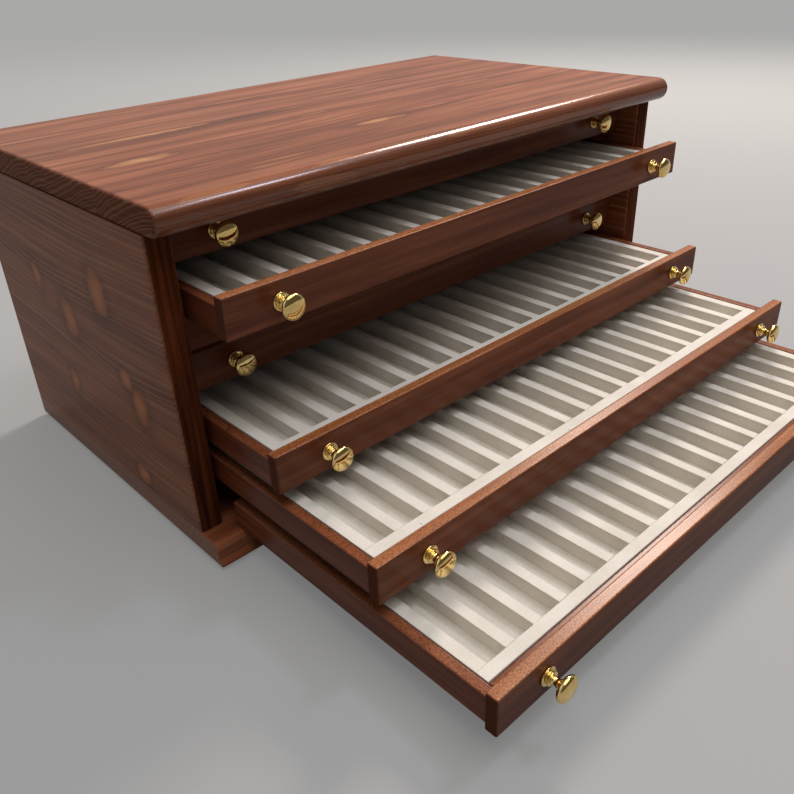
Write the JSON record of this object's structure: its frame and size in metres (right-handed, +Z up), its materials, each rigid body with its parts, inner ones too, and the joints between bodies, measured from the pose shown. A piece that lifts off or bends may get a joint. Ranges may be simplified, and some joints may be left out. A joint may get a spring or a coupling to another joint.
{
  "type": "pen display cabinet",
  "caption": "Stained pine display cabinet with shallow sliding drawers on wooden strips, brass knobs on recessed fronts and flocked trays of pen slots.",
  "frame": {"origin": "on the table, under the middle of the whole object as drawn, with its drawers out", "axes": "+X to the right along the front, +Y to the back, +Z up"},
  "size_m": [0.5, 0.5256, 0.242],
  "materials": {
    "case_pine": "knotty pine, dark reddish walnut stain, satin lacquer",
    "front_mahogany": "open-pored mahogany, dark stain, satin lacquer",
    "box_wood": "stained and lacquered hardwood",
    "tray_flock": "cream flock, matte",
    "knob_brass": "polished and lacquered",
    "dowel_beech": "plain",
    "pad_felt": "matte felt"
  },
  "bodies": {
    "case": {"top_board": "case_pine", "bottom_board": "case_pine", "side_panel_left": "case_pine", "side_panel_right": "case_pine", "back_panel": "case_pine", "runners_left": "box_wood", "runners_right": "box_wood", "case_dowels": "dowel_beech", "foot_pads": "pad_felt"},
    "drawer_1": {"drawer_1_front": "front_mahogany", "drawer_1_side_left": "box_wood", "drawer_1_side_right": "box_wood", "drawer_1_box_ends": "box_wood", "drawer_1_bottom": "box_wood", "drawer_1_tray": "tray_flock", "drawer_1_knobs": "knob_brass"},
    "drawer_2": {"drawer_2_front": "front_mahogany", "drawer_2_side_left": "box_wood", "drawer_2_side_right": "box_wood", "drawer_2_box_ends": "box_wood", "drawer_2_bottom": "box_wood", "drawer_2_tray": "tray_flock", "drawer_2_knobs": "knob_brass"},
    "drawer_3": {"drawer_3_front": "front_mahogany", "drawer_3_side_left": "box_wood", "drawer_3_side_right": "box_wood", "drawer_3_box_ends": "box_wood", "drawer_3_bottom": "box_wood", "drawer_3_tray": "tray_flock", "drawer_3_knobs": "knob_brass"},
    "drawer_4": {"drawer_4_front": "front_mahogany", "drawer_4_side_left": "box_wood", "drawer_4_side_right": "box_wood", "drawer_4_box_ends": "box_wood", "drawer_4_bottom": "box_wood", "drawer_4_tray": "tray_flock", "drawer_4_knobs": "knob_brass"},
    "drawer_5": {"drawer_5_front": "front_mahogany", "drawer_5_side_left": "box_wood", "drawer_5_side_right": "box_wood", "drawer_5_box_ends": "box_wood", "drawer_5_bottom": "box_wood", "drawer_5_tray": "tray_flock", "drawer_5_knobs": "knob_brass"},
    "drawer_6": {"drawer_6_front": "front_mahogany", "drawer_6_side_left": "box_wood", "drawer_6_side_right": "box_wood", "drawer_6_box_ends": "box_wood", "drawer_6_bottom": "box_wood", "drawer_6_tray": "tray_flock", "drawer_6_knobs": "knob_brass"},
    "drawer_7": {"drawer_7_front": "front_mahogany", "drawer_7_side_left": "box_wood", "drawer_7_side_right": "box_wood", "drawer_7_box_ends": "box_wood", "drawer_7_bottom": "box_wood", "drawer_7_tray": "tray_flock", "drawer_7_knobs": "knob_brass"}
  },
  "joints": [
    {"name": "drawer_1_slide", "type": "slide", "parent": "case", "child": "drawer_1", "axis": [0, -1, 0], "range_m": [0, 0.205]},
    {"name": "drawer_2_slide", "type": "slide", "parent": "case", "child": "drawer_2", "axis": [0, -1, 0], "range_m": [-0.061, 0.144]},
    {"name": "drawer_3_slide", "type": "slide", "parent": "case", "child": "drawer_3", "axis": [0, -1, 0], "range_m": [0, 0.205]},
    {"name": "drawer_4_slide", "type": "slide", "parent": "case", "child": "drawer_4", "axis": [0, -1, 0], "range_m": [0, 0.205]},
    {"name": "drawer_5_slide", "type": "slide", "parent": "case", "child": "drawer_5", "axis": [0, -1, 0], "range_m": [-0.094, 0.111]},
    {"name": "drawer_6_slide", "type": "slide", "parent": "case", "child": "drawer_6", "axis": [0, -1, 0], "range_m": [-0.1775, 0.0275]},
    {"name": "drawer_7_slide", "type": "slide", "parent": "case", "child": "drawer_7", "axis": [0, -1, 0], "range_m": [-0.26, 0]}
  ]
}
